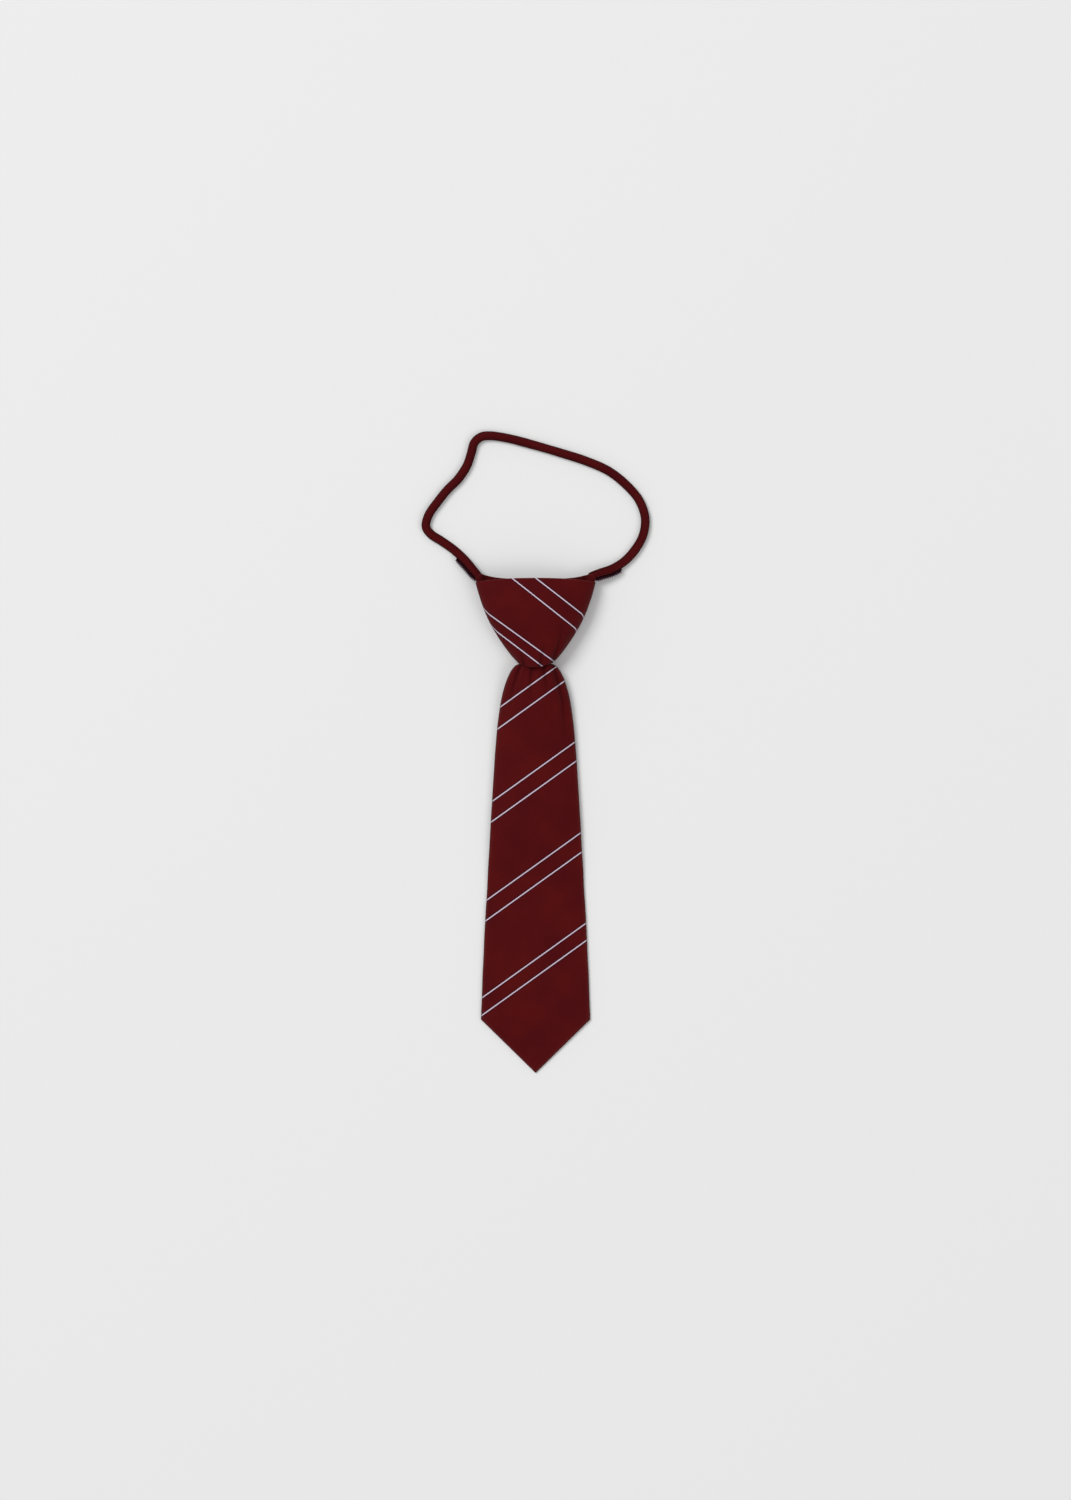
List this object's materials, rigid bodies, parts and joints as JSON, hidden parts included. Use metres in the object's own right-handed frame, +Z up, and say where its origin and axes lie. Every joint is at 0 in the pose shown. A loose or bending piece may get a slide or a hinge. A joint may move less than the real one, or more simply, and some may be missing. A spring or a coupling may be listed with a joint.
{
  "type": "ready-tied zipper tie",
  "caption": "Child's ready-tied necktie with a zip that tightens its neck loop, in burgundy cloth with pale diagonal pinstripes, lying flat.",
  "frame": {"origin": "on the table, under the middle of the whole tie's bounding box", "axes": "+X to the right seen from the front, +Y from the tip of the blade to the neck loop, +Z up from the table, out of the tie's front"},
  "size_m": [0.1466, 0.4111, 0.0189],
  "materials": {
    "striped_cloth": "burgundy polyester twill with pale lilac pinstripes in pairs",
    "plain_cloth": "plain burgundy polyester twill",
    "zip_tape": "dark plum woven zip tape",
    "zip_teeth": "dark plum nylon coil",
    "zip_slider": "dark burgundy enamel on cast zinc"
  },
  "bodies": {
    "root": {"blade": "striped_cloth", "knot_wrap": "striped_cloth", "knot_inner": "striped_cloth", "neck_band": "plain_cloth", "zip_tape_left": "zip_tape", "zip_tape_right": "zip_tape", "zip_coil_left": "zip_teeth", "zip_coil_right": "zip_teeth", "zip_slider": "zip_slider", "tail_coil": "zip_teeth", "tail_band_left": "plain_cloth", "tail_band_right": "plain_cloth", "tail_tape_left": "zip_tape", "tail_tape_right": "zip_tape", "tail_end": "plain_cloth"}
  },
  "joints": []
}
